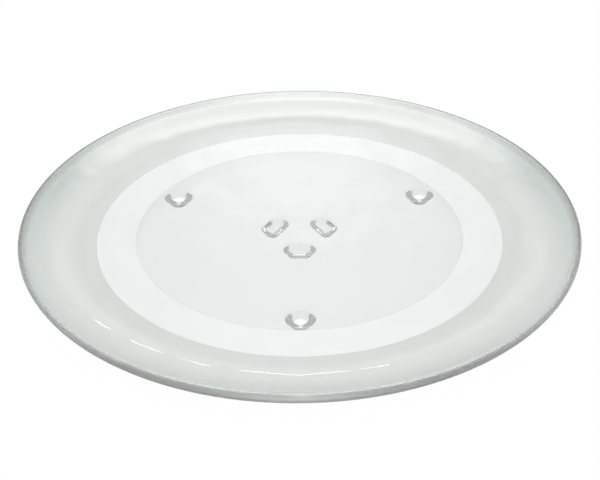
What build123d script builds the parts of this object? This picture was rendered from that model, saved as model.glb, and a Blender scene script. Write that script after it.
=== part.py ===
from build123d import *

import os
from math import cos, radians, sin

# Clear pressed-glass turntable plate of a microwave oven: one solid, in millimetres and degrees.
# The origin is on the turning axis, in the plane that the feet stand on, with +Z up.
# The plate is a flat floor inside a rim that curves up along one tangent arc to a round,
# fire-polished edge. Under the floor are the frosted track for the roller ring, three
# locating bosses just inside that track, and three lugs that the drive coupler turns.

# Plate
PLATE_DIAMETER = 324.0
GLASS_THICKNESS = 5.0
RIM_WIDTH = 36.0  # from the outermost point in to the flat floor
RIM_RISE = 6.2  # of the upper face, up to where the round edge takes over
EDGE_THICKNESS = 6.5  # upright, where the round edge takes over
EDGE_DEPTH = 4.0  # of the round edge, along the radius

# Frosted track on the underside
TRACK_MARGIN = 8.1  # flat floor left outside the track
TRACK_WIDTH = 22.5
TRACK_RELIEF = 0.4  # how far the track stands below the floor

# Feet of both kinds, spread evenly round the axis
FEET_PER_CIRCLE = 3
FIRST_FOOT_ANGLE = -90.0

# Locating bosses, which the plate stands on
BOSS_HEIGHT = 6.0
BOSS_DIAMETER = 16.0  # where its flank would meet the floor
BOSS_DRAFT = 32.0
BOSS_CROWN_FLAT = 2.5  # across the flat that its rounded lower end leaves
BOSS_ROOT_ROUND = 1.2  # how far the rounding reaches from the corner that it fills
BOSS_TRACK_GAP = 1.4  # flat floor left between a boss and the track

# Drive lugs
LUG_HEIGHT = 5.4
LUG_LENGTH = 18.0  # along the circle, over the round ends
LUG_WIDTH = 12.0  # along the radius
LUG_DRAFT = 26.0
LUG_CROWN_FLAT = 0.7
LUG_ROOT_ROUND = 1.2
COUPLER_SEAT_RADIUS = 10.4  # from the axis to each lug's inner flank

# Heights and radii that follow
floor_underside = BOSS_HEIGHT
floor_top = floor_underside + GLASS_THICKNESS
track_face = floor_underside - TRACK_RELIEF
edge_start = PLATE_DIAMETER / 2 - EDGE_DEPTH
floor_radius = PLATE_DIAMETER / 2 - RIM_WIDTH
track_outer = floor_radius - TRACK_MARGIN - TRACK_RELIEF
track_inner = track_outer - TRACK_WIDTH
boss_reach = BOSS_DIAMETER / 2 + BOSS_ROOT_ROUND
boss_circle = track_inner - TRACK_RELIEF - BOSS_TRACK_GAP - boss_reach
lug_circle = COUPLER_SEAT_RADIUS + LUG_WIDTH / 2

# A cubic curve with equal handles stands out by three quarters of their length
edge_handle = EDGE_DEPTH * 4 / 3


def edge_curve(lower_face, upper_face):
    """Round edge that leaves the ends of the rim's two faces along their own slopes."""
    lower_slope = lower_face % 1
    upper_slope = upper_face % 1
    return Bezier(
        lower_face @ 1,
        lower_face @ 1 + lower_slope * (edge_handle / lower_slope.X),
        upper_face @ 1 + upper_slope * (edge_handle / upper_slope.X),
        upper_face @ 1,
    )


def plate_section():
    """Half section of the plate without its feet: x is the radius and y the height."""
    level = (1, 0)
    upper_end = Vector(edge_start, floor_top + RIM_RISE)
    lower_end = upper_end - Vector(0, EDGE_THICKNESS)
    underside = Polyline(
        (0, floor_underside),
        (track_inner - TRACK_RELIEF, floor_underside),
        (track_inner, track_face),
        (track_outer, track_face),
        (track_outer + TRACK_RELIEF, floor_underside),
        (floor_radius, floor_underside),
    )
    rim_underside = TangentArc((floor_radius, floor_underside), lower_end, tangent=level)
    rim_top = TangentArc((floor_radius, floor_top), upper_end, tangent=level)
    edge = edge_curve(rim_underside, rim_top)
    floor = Polyline((floor_radius, floor_top), (0, floor_top), (0, floor_underside))
    return make_face([*underside.edges(), rim_underside, edge, rim_top, *floor.edges()])


def foot_section(width, height, draft, crown_flat, root_round):
    """Half section of a foot that hangs from the floor: x is the distance from its middle.

    The flank leans in by the draft on its way down, and its two corners are rounded: the crown
    at the foot's lower end, down to a flat, and the root where it runs out into the floor.
    """
    lean = radians(draft)
    up_flank = Vector(sin(lean), cos(lean))
    outward = Vector(1, 0)
    root = Vector(width / 2, floor_underside)
    crown = root - up_flank * (height / cos(lean))
    crown_reach = crown.X - crown_flat / 2
    crown_curve = Bezier(crown - outward * crown_reach, crown, crown + up_flank * crown_reach)
    root_curve = Bezier(root - up_flank * root_round, root, root + outward * root_round)
    flank = Line(crown_curve @ 1, root_curve @ 0)
    inside = Polyline(root_curve @ 1, (0, floor_underside), (0, crown.Y), crown_curve @ 0)
    return make_face([crown_curve, flank, root_curve, *inside.edges()])


def make_boss():
    """A round boss about its own Z axis."""
    section = foot_section(
        BOSS_DIAMETER, BOSS_HEIGHT, BOSS_DRAFT, BOSS_CROWN_FLAT, BOSS_ROOT_ROUND
    )
    return revolve(Plane.XZ * section, Axis.Z)


def make_lug():
    """A lug with half-round ends, as long as it is along its own Y axis."""
    section = Plane.XZ * foot_section(
        LUG_WIDTH, LUG_HEIGHT, LUG_DRAFT, LUG_CROWN_FLAT, LUG_ROOT_ROUND
    )
    half_straight = (LUG_LENGTH - LUG_WIDTH) / 2
    half_bar = extrude(section, amount=half_straight, both=True)
    end = Pos(0, half_straight, 0) * revolve(section, Axis.Z, 180)
    half_turn = Rot(0, 0, 180)
    return half_bar + half_turn * half_bar + end + half_turn * end


def spread(foot, radius):
    """Copies of a foot round the turning axis, each with its own X axis along the radius."""
    return [place * foot for place in PolarLocations(radius, FEET_PER_CIRCLE, FIRST_FOOT_ANGLE)]


plate = revolve(Plane.XZ * plate_section(), Axis.Z)
plate = plate + spread(make_boss(), boss_circle) + spread(make_lug(), lug_circle)
plate.label = "turntable_plate"

os.makedirs("parts", exist_ok=True)
export_step(plate, "parts/turntable_plate.step")
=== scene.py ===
# %% [markdown]
# A glass turntable plate for a microwave oven, dressed in Blender around its CAD solid.
# The plate is one pressing of clear glass with a frosted ring under it. Clear glass has hardly
# a colour of its own: the eye reads it by how its section bends light at the rim, at the feet
# and at the ring. So this lesson is about an exact section, a smooth closed mesh, glass that
# swallows a little light on the way, and a studio that is worth refracting.

import math

import bmesh
import bpy
from mathutils import Matrix, Vector


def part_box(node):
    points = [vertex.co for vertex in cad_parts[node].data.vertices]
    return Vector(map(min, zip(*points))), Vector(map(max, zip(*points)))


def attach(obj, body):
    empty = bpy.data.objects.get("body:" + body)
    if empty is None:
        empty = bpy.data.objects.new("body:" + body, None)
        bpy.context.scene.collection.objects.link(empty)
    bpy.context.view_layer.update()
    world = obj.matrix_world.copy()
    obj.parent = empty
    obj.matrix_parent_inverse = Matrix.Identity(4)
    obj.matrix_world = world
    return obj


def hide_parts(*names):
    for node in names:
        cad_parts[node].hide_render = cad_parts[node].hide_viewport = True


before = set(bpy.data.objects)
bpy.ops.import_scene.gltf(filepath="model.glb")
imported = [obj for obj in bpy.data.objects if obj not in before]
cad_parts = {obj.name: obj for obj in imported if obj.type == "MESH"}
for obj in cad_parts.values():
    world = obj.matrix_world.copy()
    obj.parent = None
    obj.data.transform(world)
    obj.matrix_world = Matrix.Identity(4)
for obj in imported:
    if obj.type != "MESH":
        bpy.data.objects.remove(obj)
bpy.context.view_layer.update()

# %% [markdown]
# The plate's sizes, in metres. They are the driving sizes of the CAD solid, so that the mesh
# has the solid's own form: a piece that stands for a solid must not drift from it. The mesh
# could also be made from the solid's facets, but those are coarse, and glass shows each facet
# as a kink in whatever is seen through it.

# %% Sizes of the plate
MM = 0.001
PLATE_RADIUS = 162.0 * MM
GLASS_THICKNESS = 5.0 * MM
RIM_WIDTH = 36.0 * MM
RIM_RISE = 6.2 * MM
EDGE_THICKNESS = 6.5 * MM
EDGE_DEPTH = 4.0 * MM

TRACK_INNER = 95.0 * MM
TRACK_OUTER = 117.5 * MM
TRACK_RELIEF = 0.4 * MM

BOSS_CIRCLE = 84.0 * MM
BOSS_DIAMETER = 16.0 * MM
BOSS_HEIGHT = 6.0 * MM
BOSS_DRAFT = math.radians(32)
BOSS_CROWN_FLAT = 2.5 * MM
BOSS_ROOT_ROUND = 1.2 * MM

LUG_CIRCLE = 16.4 * MM
LUG_LENGTH = 18.0 * MM
LUG_WIDTH = 12.0 * MM
LUG_HEIGHT = 5.4 * MM
LUG_DRAFT = math.radians(26)
LUG_CROWN_FLAT = 0.7 * MM
LUG_ROOT_ROUND = 1.2 * MM

underside = BOSS_HEIGHT
floor_top = underside + GLASS_THICKNESS
floor_radius = PLATE_RADIUS - RIM_WIDTH
edge_start = PLATE_RADIUS - EDGE_DEPTH

low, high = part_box("turntable_plate")
print("floor", round(2 * floor_radius / MM), "mm across, plate", round((high.x - low.x) / MM), "mm")
assert abs(high.x - PLATE_RADIUS) < MM

# %% [markdown]
# A section first. A pressed plate is a lathe form, so one half section, spun round the axis,
# gives everything but the feet. The two faces of the rim are arcs that leave the floor level.
# The edge is a cubic curve that leaves both faces along their own slopes, as hot glass pulls
# itself round under the fire polisher. A bevel could round the edge too, but it would meet the
# faces with a jump in curvature, and polished glass draws every such jump as a line.

# %% Curves of the section
def between(start, end, count):
    """Numbers from start to end, without the end."""
    return [start + (end - start) * i / count for i in range(count)]

def bezier(points, count):
    """Points along a Bezier curve of any order, by repeated mixing of its handles."""
    def at(share):
        row = [Vector(p) for p in points]
        while len(row) > 1:
            row = [a.lerp(b, share) for a, b in zip(row, row[1:])]
        return row[0]
    return [at(share) for share in between(0, 1, count)]

class RimFace:
    """One face of the rim: an arc that leaves the floor level and ends at a height and radius."""

    def __init__(self, base, rise):
        run = edge_start - floor_radius
        self.base = base
        self.radius = (run**2 + rise**2) / (2 * rise)
        self.angle = math.asin(run / self.radius)

    def at(self, angle):
        across = floor_radius + self.radius * math.sin(angle)
        return Vector((across, self.base + self.radius * (1 - math.cos(angle))))

    def slope(self):
        """Way along the face at its end, as long as one step outwards."""
        return Vector((1, math.tan(self.angle)))

upper_face = RimFace(floor_top, RIM_RISE)
lower_face = RimFace(underside, RIM_RISE + GLASS_THICKNESS - EDGE_THICKNESS)
rim_angles = [round(math.degrees(f.angle), 1) for f in (upper_face, lower_face)]
print("rim faces end at", rim_angles, "degrees")

# %% Half section, from the middle of the top round the edge to the underside
FLOOR_STEP = 3.0 * MM
RIM_POINTS = 30
EDGE_POINTS = 40

# A cubic curve with equal handles stands out by three quarters of their length.
handle = EDGE_DEPTH * 4 / 3
edge_top = upper_face.at(upper_face.angle)
edge_low = lower_face.at(lower_face.angle)
upper_handle = edge_top + upper_face.slope() * handle
lower_handle = edge_low + lower_face.slope() * handle
edge = [edge_top, upper_handle, lower_handle, edge_low]

section = [Vector((r, floor_top)) for r in between(0, floor_radius, round(floor_radius / FLOOR_STEP))]
section += [upper_face.at(a) for a in between(0, upper_face.angle, RIM_POINTS)]
section += bezier(edge, EDGE_POINTS)
section += [lower_face.at(a) for a in between(lower_face.angle, 0, RIM_POINTS)]
section += [Vector((floor_radius, underside)), Vector((TRACK_OUTER + TRACK_RELIEF, underside))]
section += [Vector((TRACK_INNER - TRACK_RELIEF, underside))]
print(len(section), "points in the section")

# %% [markdown]
# Spinning it. Blender has a Screw modifier and a spin operator for lathe forms. Plain rings of
# points joined by faces do the same in a few lines, and they leave each band of faces at hand
# for the steps that follow. The count of faces round the plate is high, because the outline of
# the rim is the longest smooth line in the picture.

# %% Spin the section
SPIN = 384

def ring(form, radius, height):
    """One ring of points of a lathe form, or a single point on the axis."""
    if radius == 0:
        return [form.verts.new((0, 0, height))]
    turns = [2 * math.pi * i / SPIN for i in range(SPIN)]
    return [form.verts.new((radius * math.cos(t), radius * math.sin(t), height)) for t in turns]

def bridge(form, first, second):
    """Faces between two closed rings of points; the first ring may be a single point."""
    for i in range(len(second)):
        j = (i + 1) % len(second)
        corners = [first[0]] if len(first) == 1 else [first[i], first[j]]
        form.faces.new(corners + [second[j], second[i]])

body = bmesh.new()
rings = [ring(body, p.x, p.y) for p in section]
for inner, outer in zip(rings, rings[1:]):
    bridge(body, inner, outer)
print(len(rings), "rings of", SPIN, "points")

# %% [markdown]
# The feet hang from the floor: three round bosses that the plate stands on, and three lugs
# with round ends that the drive coupler turns. Both are the same idea, an outline that shrinks
# on its way down along a leaning flank, with a rounding at its root and one at its crown. A
# lug's outline is a bar with half-round ends, and a boss is that bar with no length, so the
# same functions make them all. The lean matters: a flank this oblique throws the light of the
# table out of the camera's way, which is what draws the grey hoof-shaped lines of the lugs.

# %% Section and outline of a foot
ROUND_POINTS = 14
FLANK_POINTS = 4
END_POINTS = 32
SIDE_POINTS = 10

def foot_section(width, height, draft, crown_flat, root_round):
    """Half section of a foot, from its root on the floor down to the flat of its crown."""
    up_flank = Vector((math.sin(draft), math.cos(draft)))
    outward = Vector((1, 0))
    root = Vector((width / 2, underside))
    crown = root - up_flank * (height / math.cos(draft))
    crown_reach = crown.x - crown_flat / 2
    flank = [root - up_flank * root_round, crown + up_flank * crown_reach]
    flat_end = crown - outward * crown_reach
    points = bezier([root + outward * root_round, root, flank[0]], ROUND_POINTS)
    points += bezier(flank, FLANK_POINTS)
    points += bezier([flank[1], crown, flat_end], ROUND_POINTS)
    return points + [flat_end]

def foot_outline(half_straight):
    """Pairs of a point on a foot's spine and the direction from it to the outline."""
    pairs = []
    for side in (1, -1):
        spine = Vector((0, side * half_straight))
        for i in range(END_POINTS + 1):
            turn = math.pi * i / END_POINTS
            pairs.append((spine, Vector((side * math.cos(turn), side * math.sin(turn)))))
        for i in range(1, SIDE_POINTS if half_straight else 1):
            spot = side * half_straight * (1 - 2 * i / SIDE_POINTS)
            pairs.append((Vector((0, spot)), Vector((-side, 0))))
        if not half_straight:
            pairs.pop()
    return pairs

# %% Six feet, spread round the axis
FOOT_COUNT = 3
FIRST_FOOT_ANGLE = math.radians(-90)

def add_foot(circle, turn, half_straight, points):
    """Adds one foot at its place on a circle, and returns the ring at its root."""
    out = Vector((math.cos(turn), math.sin(turn)))
    along = Vector((-math.sin(turn), math.cos(turn)))
    outline = foot_outline(half_straight)
    loops = []
    for reach, height in points:
        flat = [spine + way * reach for spine, way in outline]
        places = [out * (circle + p.x) + along * p.y for p in flat]
        loops.append([body.verts.new((p.x, p.y, height)) for p in places])
    for upper, lower in zip(loops, loops[1:]):
        bridge(body, upper, lower)
    body.faces.new(loops[-1])
    return loops[0]

boss = foot_section(BOSS_DIAMETER, BOSS_HEIGHT, BOSS_DRAFT, BOSS_CROWN_FLAT, BOSS_ROOT_ROUND)
lug = foot_section(LUG_WIDTH, LUG_HEIGHT, LUG_DRAFT, LUG_CROWN_FLAT, LUG_ROOT_ROUND)
roots = []
for i in range(FOOT_COUNT):
    turn = FIRST_FOOT_ANGLE + 2 * math.pi * i / FOOT_COUNT
    roots.append(add_foot(BOSS_CIRCLE, turn, 0, boss))
    roots.append(add_foot(LUG_CIRCLE, turn, (LUG_LENGTH - LUG_WIDTH) / 2, lug))
print(len(roots), "feet of", len(boss), "rings each")

# %% [markdown]
# The flat underside lies between the innermost ring and the feet's roots. A boolean union
# would join the feet as well, but it leaves slivers along the seam. Filling the flat between
# the closed outlines makes one watertight skin, and glass needs that: each ray has to leave
# what it entered, or the inside turns black.

# %% Close the underside round the feet
def loop_edges(loop):
    return [body.edges.get(pair) for pair in zip(loop, loop[1:] + loop[:1])]

outlines = [e for loop in roots + [rings[-1]] for e in loop_edges(loop)]
bmesh.ops.triangle_fill(body, edges=outlines, use_beauty=True, use_dissolve=False)
print(len(body.faces), "faces,", sum(not e.is_manifold for e in body.edges), "open edges")

# %% [markdown]
# The roller track is a ring of the underside that the mould leaves rough, and it stands a
# little proud. Rough glass could be the same surface with a high roughness, but light that
# leaves clear glass through a rough face is bent back into it and the ring comes out grey. A
# real frosted ring is white because countless tiny pits with air in them scatter the light. So
# the ring is a thin closed skin of its own, a hair's breadth under the clear glass.

# %% Frosted skin of the roller track
SKIN_GAP = 0.02 * MM

skin_section = [
    (TRACK_OUTER + TRACK_RELIEF, underside - SKIN_GAP),
    (TRACK_OUTER, underside - TRACK_RELIEF),
    (TRACK_INNER, underside - TRACK_RELIEF),
    (TRACK_INNER - TRACK_RELIEF, underside - SKIN_GAP),
]
skin = bmesh.new()
skin_rings = [ring(skin, *corner) for corner in skin_section]
for first, second in zip(skin_rings, skin_rings[1:] + skin_rings[:1]):
    bridge(skin, first, second)
print(len(skin.faces), "faces of frosted skin")

# %% [markdown]
# Both forms become objects that ride on the plate's body and stand for its one solid. Smooth
# shading with weighted normals keeps the flat faces flat next to the round ones, and edges
# with a real corner stay sharp.

# %% The pieces as objects
SHARP = math.radians(30)

def as_piece(name, form):
    """Makes an object of a closed form, and gives it the plate's place in the frame."""
    bmesh.ops.recalc_face_normals(form, faces=form.faces)
    for face in form.faces:
        face.smooth = True
    data = bpy.data.meshes.new(name)
    form.to_mesh(data)
    form.free()
    data.set_sharp_from_angle(angle=SHARP)
    made = bpy.data.objects.new(name, data)
    bpy.context.scene.collection.objects.link(made)
    level = made.modifiers.new("flat faces stay flat", "WEIGHTED_NORMAL")
    level.mode = "FACE_AREA"
    level.keep_sharp = True
    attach(made, "root")
    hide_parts("turntable_plate")
    print(name, "of", len(data.polygons), "faces")
    return made

plate = as_piece("pressed_glass_plate", body)
track = as_piece("frosted_roller_track", skin)

# %% [markdown]
# Shader nodes can be wired one by one, but sums are easier to read as sums. This small class
# wraps an output socket. Adding or multiplying two of them adds the Math node, and every other
# node comes from one method that takes its type, its settings and what goes into its sockets.

# %% A socket that can be added and multiplied
class Wire:
    """An output of a shader node. A sum written with it adds the Math nodes."""

    def __init__(self, socket):
        self.socket = socket

    @staticmethod
    def node(tree, kind, settings=None, sockets=None, out=0):
        """Adds a node: first its settings, then the values or links of its sockets."""
        made = tree.nodes.new("ShaderNode" + kind)
        for name, value in (settings or {}).items():
            setattr(made, name, value)
        for name, value in (sockets or {}).items():
            if isinstance(value, Wire):
                tree.links.new(value.socket, made.inputs[name])
            else:
                made.inputs[name].default_value = value
        return Wire(made.outputs[out] if made.outputs else None)

    def output(self, name):
        """Another output of the same node."""
        return Wire(self.socket.node.outputs[name])

    def maths(self, operation, *values):
        sockets = dict(enumerate(values))
        return Wire.node(self.socket.id_data, "Math", {"operation": operation}, sockets)

    def __add__(self, other):
        return self.maths("ADD", self, other)

    def __sub__(self, other):
        return self.maths("SUBTRACT", self, other)

    def __rsub__(self, other):
        return self.maths("SUBTRACT", other, self)

    def __mul__(self, other):
        return self.maths("MULTIPLY", self, other)

    __radd__ = __add__
    __rmul__ = __mul__

    def ramp(self, start, end, low=0.0, high=1.0):
        """Runs softly from low to high while this value runs from start to end."""
        sockets = {"Value": self, "From Min": start, "From Max": end, "To Min": low, "To Max": high}
        return Wire.node(self.socket.id_data, "MapRange", {"interpolation_type": "SMOOTHSTEP"}, sockets)

    def mix(self, first, second):
        """The first colour where this value is 0, the second where it is 1."""
        sockets = {"Factor": self, "A": first, "B": second}
        return Wire.node(self.socket.id_data, "Mix", {"data_type": "RGBA"}, sockets, out="Result")

def new_material(name):
    material = bpy.data.materials.new(name)
    material.use_nodes = True
    material.node_tree.nodes.clear()
    return material, material.node_tree

def finish_tree(tree, surface, volume=None, kind="OutputMaterial"):
    sockets = {"Surface": surface}
    if volume:
        sockets["Volume"] = volume
    Wire.node(tree, kind, sockets=sockets)

def grey(level):
    return (level, level, level, 1)

# %% [markdown]
# Clear glass. Its colour has two parts. Light that is caught inside runs along the plate for
# hundreds of millimetres before it gets out, and the glass swallows some of it on the way; a
# volume absorption does that, and it is why the edge of a plate looks grey-green. The rest is
# painted shade, with a faint green of the glass, in the base colour of the underside. Light
# that goes straight through passes it once, on its way out of the underside, and it darkens
# what is seen through the glass as the shade of the plate on the table would: a little under
# the floor, more under the sloping rim, and not at all over the frosted track or the standing
# faces of the bosses. Painted shade on both faces would do too, but seen at a slant the two
# wouldn't meet at the edges of the track.

# %% Upper and mould side of the clear glass
clear, tree = new_material("clear_pressed_glass")
place = Wire.node(tree, "TexCoord", out="Object")
height = Wire.node(tree, "SeparateXYZ", sockets={0: place}, out="Z")
flat_place = Wire.node(tree, "VectorMath", {"operation": "MULTIPLY"}, {0: place, 1: (1, 1, 0)})
radius = Wire.node(tree, "VectorMath", {"operation": "LENGTH"}, {0: flat_place}, out="Value")
over_rim = radius.maths("MAXIMUM", radius - floor_radius, 0.0)
# The middle of the glass is level under the floor, and then follows the rim's arc closely.
middle = (floor_top + underside) / 2 + over_rim * over_rim * (0.5 / upper_face.radius)
mould_side = (middle - height).ramp(0.0, GLASS_THICKNESS / 2)
print("middle of the glass", round((floor_top + underside) / 2 / MM, 2), "mm up at the floor")

# %% Painted shade on the mould side, by distance from the axis
CLEAR = (1, 1, 1, 1)
# Colours of painted shade, standing in for the table's shade under the plate, with a faint green of the
# glass: lightest under the floor, darker under the slope, darkest at the rim.
FLOOR_PAINTED_SHADE = (0.58, 0.613, 0.597, 1)
SLOPE_PAINTED_SHADE = (0.43, 0.482, 0.456, 1)
RIM_PAINTED_SHADE = (0.29, 0.343, 0.315, 1)
PAINTED_SHADE_BLEND = 0.4 * MM
STANDING_FACE = 0.5 * MM

# Painted shade on the underside only: none over the frosted track, none on the bosses' standing faces.
painted_shade = radius.ramp(TRACK_INNER - PAINTED_SHADE_BLEND, TRACK_INNER).mix(FLOOR_PAINTED_SHADE, CLEAR)
painted_shade = radius.ramp(TRACK_OUTER, TRACK_OUTER + PAINTED_SHADE_BLEND).mix(painted_shade, SLOPE_PAINTED_SHADE)
painted_shade = radius.ramp(TRACK_OUTER, edge_start).mix(painted_shade, RIM_PAINTED_SHADE)
painted_shade = height.ramp(STANDING_FACE, STANDING_FACE / 2).mix(painted_shade, CLEAR)
painted_shade = mould_side.mix(CLEAR, painted_shade)
print("tints from", FLOOR_PAINTED_SHADE[:3], "to", RIM_PAINTED_SHADE[:3])

# %% [markdown]
# A pressed face isn't a mirror. It keeps a faint swell from the mould, some tens of
# micrometres over a few centimetres, which makes a reflected lamp waver. Wiping leaves a very
# thin haze on it, the round edge is softer than the faces, and the underside of the rim keeps
# the mould's duller skin, because the fire polisher only reaches the upper side. The swell is
# far too low to model, so a bump carries it, and dies out where the edge begins to round. All
# the rest goes into the roughness.

# %% Swell, haze and the finished glass
SWELL_LENGTH = 25.0 * MM
SWELL_DEPTH = 0.35 * MM
HAZE_LENGTH = 40.0 * MM
HAZE_FROM = 0.45
HAZE_FULL = 0.75
HAZE = 0.025
EDGE_SOFTNESS = 0.3
MOULD_SOFTNESS = 0.1
GLASS_IOR = 1.5
ABSORPTION_TINT = (0.79, 0.806, 0.798, 1)
ABSORPTION_DENSITY = 6.0

swell = Wire.node(tree, "TexNoise", sockets={"Vector": place, "Scale": 1 / SWELL_LENGTH, "Detail": 1.0})
waver = (swell - 0.5) * radius.ramp(edge_start, edge_start - 2 * EDGE_DEPTH)
face = Wire.node(tree, "Bump", sockets={"Height": waver, "Distance": SWELL_DEPTH}, out="Normal")
haze = Wire.node(tree, "TexNoise", sockets={"Vector": place, "Scale": 1 / HAZE_LENGTH, "Detail": 4.0})
softness = haze.ramp(HAZE_FROM, HAZE_FULL, 0.0, HAZE)
softness = softness + mould_side * over_rim.ramp(0.0, 2 * EDGE_DEPTH, 0.0, MOULD_SOFTNESS)
softness = softness + radius.ramp(edge_start - EDGE_DEPTH, PLATE_RADIUS, 0.0, EDGE_SOFTNESS)
# The base colour carries the painted shade of the mould side.
glass = Wire.node(tree, "BsdfPrincipled", sockets={
    "Base Color": painted_shade,
    "Roughness": softness,
    "IOR": GLASS_IOR,
    "Transmission Weight": 1.0,
    "Normal": face,
})
swallowing = {"Color": ABSORPTION_TINT, "Density": ABSORPTION_DENSITY}
inside = Wire.node(tree, "VolumeAbsorption", sockets=swallowing)
finish_tree(tree, glass, inside)
plate.data.materials.append(clear)
swallowed = [round(ABSORPTION_DENSITY * (1 - c), 2) for c in ABSORPTION_TINT[:3]]
print("clear glass swallows", swallowed, "per metre")

# %% [markdown]
# The frosted skin is white, dull and a little see-through, with a grain fine enough that only
# a close view shows it. The grain is a bump and a slight speckle of the colour. The track
# could be a plain white diffuse surface, but then nothing of the table under it would come
# through, and real frosted glass is always a little translucent.

# %% Frosted roller track
GRAIN_SIZE = 0.5 * MM
GRAIN_DEPTH = 0.06 * MM
CLOUD_SIZE = 12.0 * MM
FROST_PALE = (0.82, 0.835, 0.83, 1)
FROST_DULL = (0.79, 0.805, 0.80, 1)
FROST_CLEARNESS = 0.2
SPECKLE_FROM = 0.35
SPECKLE_FULL = 0.65
CLOUD_FROM = 0.3
CLOUD_FULL = 0.7
ROUGH_LEAST = 0.62
ROUGH_MOST = 0.78

frost, tree = new_material("frosted_track")
place = Wire.node(tree, "TexCoord", out="Object")
grain = Wire.node(tree, "TexNoise", sockets={"Vector": place, "Scale": 1 / GRAIN_SIZE, "Detail": 2.0})
cloud = Wire.node(tree, "TexNoise", sockets={"Vector": place, "Scale": 1 / CLOUD_SIZE, "Detail": 3.0})
pits = Wire.node(tree, "Bump", sockets={"Height": grain, "Distance": GRAIN_DEPTH}, out="Normal")
speckle = (0.5 * grain + 0.5 * cloud).ramp(SPECKLE_FROM, SPECKLE_FULL)
matte = Wire.node(tree, "BsdfPrincipled", sockets={
    "Base Color": speckle.mix(FROST_DULL, FROST_PALE),
    "Roughness": cloud.ramp(CLOUD_FROM, CLOUD_FULL, ROUGH_LEAST, ROUGH_MOST),
    "IOR": GLASS_IOR,
    "Transmission Weight": FROST_CLEARNESS,
    "Normal": pits,
})
finish_tree(tree, matte)
track.data.materials.append(frost)
print("frosted track", round((TRACK_OUTER - TRACK_INNER) / MM, 1), "mm wide")

# %% [markdown]
# The table is plain white paper, level and far wider than the view. Paper alone would look
# grey wherever the plate shades it, so most of what the camera sees of it, straight or through
# the glass, is a white of its own. The rest is lit paper, which keeps the plate's soft shadow.

# %% Table
TABLE_RADIUS = 6.0
TABLE_SIDES = 96
TABLE_GAP = 0.3 * MM
PAPER = 0.9
OWN_WHITE = 0.93

table_form = bmesh.new()
bmesh.ops.create_circle(table_form, cap_ends=True, segments=TABLE_SIDES, radius=TABLE_RADIUS)
table_mesh = bpy.data.meshes.new("studio_table")
table_form.to_mesh(table_mesh)
table_form.free()
table = bpy.data.objects.new("studio_table", table_mesh)
table.location.z = low.z - TABLE_GAP
bpy.context.scene.collection.objects.link(table)

paper, tree = new_material("white_paper")
ray = Wire.node(tree, "LightPath", out="Is Camera Ray")
seen = ray.maths("MAXIMUM", ray, ray.output("Is Glossy Ray"))
seen = seen.maths("MAXIMUM", seen, ray.output("Is Transmission Ray"))
lit = Wire.node(tree, "BsdfDiffuse", sockets={"Color": grey(PAPER)})
own = Wire.node(tree, "Emission", sockets={"Color": grey(1.0), "Strength": 1.0})
finish_tree(tree, Wire.node(tree, "MixShader", sockets={0: seen * OWN_WHITE, 1: lit, 2: own}))
table_mesh.materials.append(paper)
print("table at", round(table.location.z / MM, 2), "mm")

# %% [markdown]
# The room decides how glass looks, because glass shows little else. This one is a gradient
# painted on the world: dim all round, with a paler wall straight behind the plate, a glow on
# that wall, and two round softboxes higher up, which the far side of the rim mirrors. Each
# round patch is a soft-edged cone about a direction, so the whole studio is a short sum. The
# softbox behind is kept out of rays that come through the glass, because the lugs would bend
# it to the eye as white strokes.

# %% Room
world = bpy.data.worlds.new("studio")
bpy.context.scene.world = world
world.use_nodes = True
tree = world.node_tree
tree.nodes.clear()
way = Wire.node(tree, "TexCoord", out="Generated")
parts = Wire.node(tree, "SeparateXYZ", sockets={0: way})
height = parts.maths("ARCSINE", parts.output("Z"))
bearing = parts.maths("ARCTAN2", parts, parts.output("Y"))
aside = bearing.maths("ABSOLUTE", bearing)

def rise(value, start, end):
    """Soft step of an angle, between two angles in degrees."""
    return value.ramp(math.radians(start), math.radians(end))

def softbox(height_angle, full, none):
    """Light from straight behind the plate: full inside one cone, nothing outside another."""
    up = math.radians(height_angle)
    aim = (0, math.cos(up), math.sin(up))
    dot = Wire.node(tree, "VectorMath", {"operation": "DOT_PRODUCT"}, {0: way, 1: aim}, out="Value")
    return rise(dot.maths("ARCCOSINE", dot), none, full)

dim_room = 0.38
wall_behind = rise(aside, 20, 0) * rise(height, 46, 38) * rise(height, -12, 28)
wall_glow = 0.3 * softbox(29, 2, 5)
mirrored = 1 - Wire.node(tree, "LightPath", out="Is Transmission Ray")
softbox_behind = 5.0 * softbox(58, 10, 20) * mirrored
softbox_above = 2.5 * softbox(75, 8, 14)
light = dim_room + wall_behind + wall_glow + softbox_behind + softbox_above
studio = Wire.node(tree, "Background", sockets={"Color": grey(1.0), "Strength": light})
finish_tree(tree, studio, kind="OutputWorld")
print("room painted with", len(tree.nodes), "nodes")

# %% [markdown]
# A wide round panel over the table lights what is dull: the paper and the frosted track. It is
# kept out of the glass, as a photographer keeps a lamp out of a reflection, because the feet
# would show it as white strokes. Blender's shadow rays don't bend, so they stop at clear glass
# and would leave the track under it dark; the clear plate lets them pass, and only the track
# throws a shadow.

# %% Overhead panel
PANEL_HEIGHT = 3.0
PANEL_RADIUS = 1.0
PANEL_LEVEL = 0.46

panel_lamp = bpy.data.lights.new("overhead_panel", "AREA")
panel_lamp.shape = "DISK"
panel_lamp.size = 2 * PANEL_RADIUS
panel_lamp.energy = PANEL_LEVEL * math.pi**2 * (PANEL_HEIGHT**2 + PANEL_RADIUS**2)
panel = bpy.data.objects.new("overhead_panel", panel_lamp)
panel.location.z = PANEL_HEIGHT
panel.visible_glossy = False
panel.visible_transmission = False
bpy.context.scene.collection.objects.link(panel)
plate.visible_shadow = False
print("overhead panel of", round(panel_lamp.energy), "W")

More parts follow.
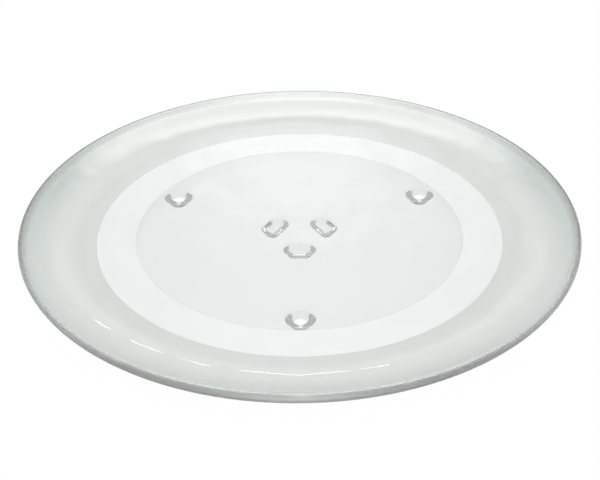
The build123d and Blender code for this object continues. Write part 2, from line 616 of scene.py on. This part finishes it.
# %% [markdown]
# A narrow bright slit low behind the plate, like a gap between curtains. The front of the rim
# mirrors it as a thin white line, and the swell of the pressed glass makes that line waver. It
# is far too small to light anything, so it is left out of the dull surfaces' light.

# %% Slit of light behind the plate
SLIT_DISTANCE = 3.0
SLIT_ELEVATION = math.radians(25.2)
SLIT_BEARING = math.radians(-0.5)
SLIT_WIDTH = 0.18
SLIT_HEIGHT = 0.03
SLIT_POWER = 0.00002
SLIT_SPREAD = math.radians(2.0)
SLIT_AIM = Vector((-22 * MM, -137 * MM, 12 * MM))

slit_lamp = bpy.data.lights.new("curtain_slit", "AREA")
slit_lamp.shape = "RECTANGLE"
slit_lamp.size = SLIT_WIDTH
slit_lamp.size_y = SLIT_HEIGHT
slit_lamp.energy = SLIT_POWER
slit_lamp.spread = SLIT_SPREAD
slit = bpy.data.objects.new("curtain_slit", slit_lamp)
turn = Matrix.Rotation(-SLIT_BEARING, 3, "Z") @ Matrix.Rotation(SLIT_ELEVATION, 3, "X")
slit.location = turn @ Vector((0, SLIT_DISTANCE, 0))
slit.rotation_euler = (SLIT_AIM - slit.location).to_track_quat("-Z", "Y").to_euler()
slit.visible_diffuse = False
bpy.context.scene.collection.objects.link(slit)
print("slit at", [round(c, 2) for c in slit.location])

# %% [markdown]
# Light paths. A ray that enters the edge of a plate is reflected inside it again and again,
# and it may cross the whole plate before it gets out. Blender stops after a few bounces and
# takes what is left for black, which inks in every edge. More bounces let the ray find its
# way out, and with no filter on glossy paths the table under the glass keeps its light.

# %% Light paths
GLASS_BOUNCES = 64

paths = bpy.context.scene.cycles
paths.max_bounces = GLASS_BOUNCES
paths.glossy_bounces = GLASS_BOUNCES
paths.transmission_bounces = GLASS_BOUNCES
paths.blur_glossy = 0.0
print("up to", GLASS_BOUNCES, "bounces")

# %% [markdown]
# The camera stands where the photograph was taken from: in front of one boss, a third of a
# right angle above the table. Its distance sets the perspective, the lens the size in the
# picture, and the shift where the plate's axis falls. It leans by half a degree, as a camera
# held by hand does.

# %% Camera
IMAGE_WIDTH = 600
IMAGE_HEIGHT = 480
FOCAL_PIXELS = 1604
AXIS_PIXEL = (299.5, 233.8)
EYE_DISTANCE = 0.935
EYE_ELEVATION = math.radians(32.98)
EYE_LEAN = math.radians(-0.64)
AIM_HEIGHT = 8.6 * MM

lens = bpy.data.cameras.new("camera")
lens.sensor_fit = "HORIZONTAL"
lens.lens = FOCAL_PIXELS * lens.sensor_width / IMAGE_WIDTH
lens.shift_x = (IMAGE_WIDTH / 2 - AXIS_PIXEL[0]) / IMAGE_WIDTH
lens.shift_y = (AXIS_PIXEL[1] - IMAGE_HEIGHT / 2) / IMAGE_WIDTH
camera = bpy.data.objects.new("camera", lens)
aim = Vector((0, 0, AIM_HEIGHT))
camera.location = aim + EYE_DISTANCE * Vector((0, -math.cos(EYE_ELEVATION), math.sin(EYE_ELEVATION)))
tilt = Matrix.Rotation(math.pi / 2 - EYE_ELEVATION, 3, "X")
camera.rotation_euler = (tilt @ Matrix.Rotation(EYE_LEAN, 3, "Z")).to_euler()
bpy.context.scene.collection.objects.link(camera)
bpy.context.scene.camera = camera
bpy.context.scene.view_settings.view_transform = "Standard"
print("camera", round(camera.location.z, 3), "m above the table")
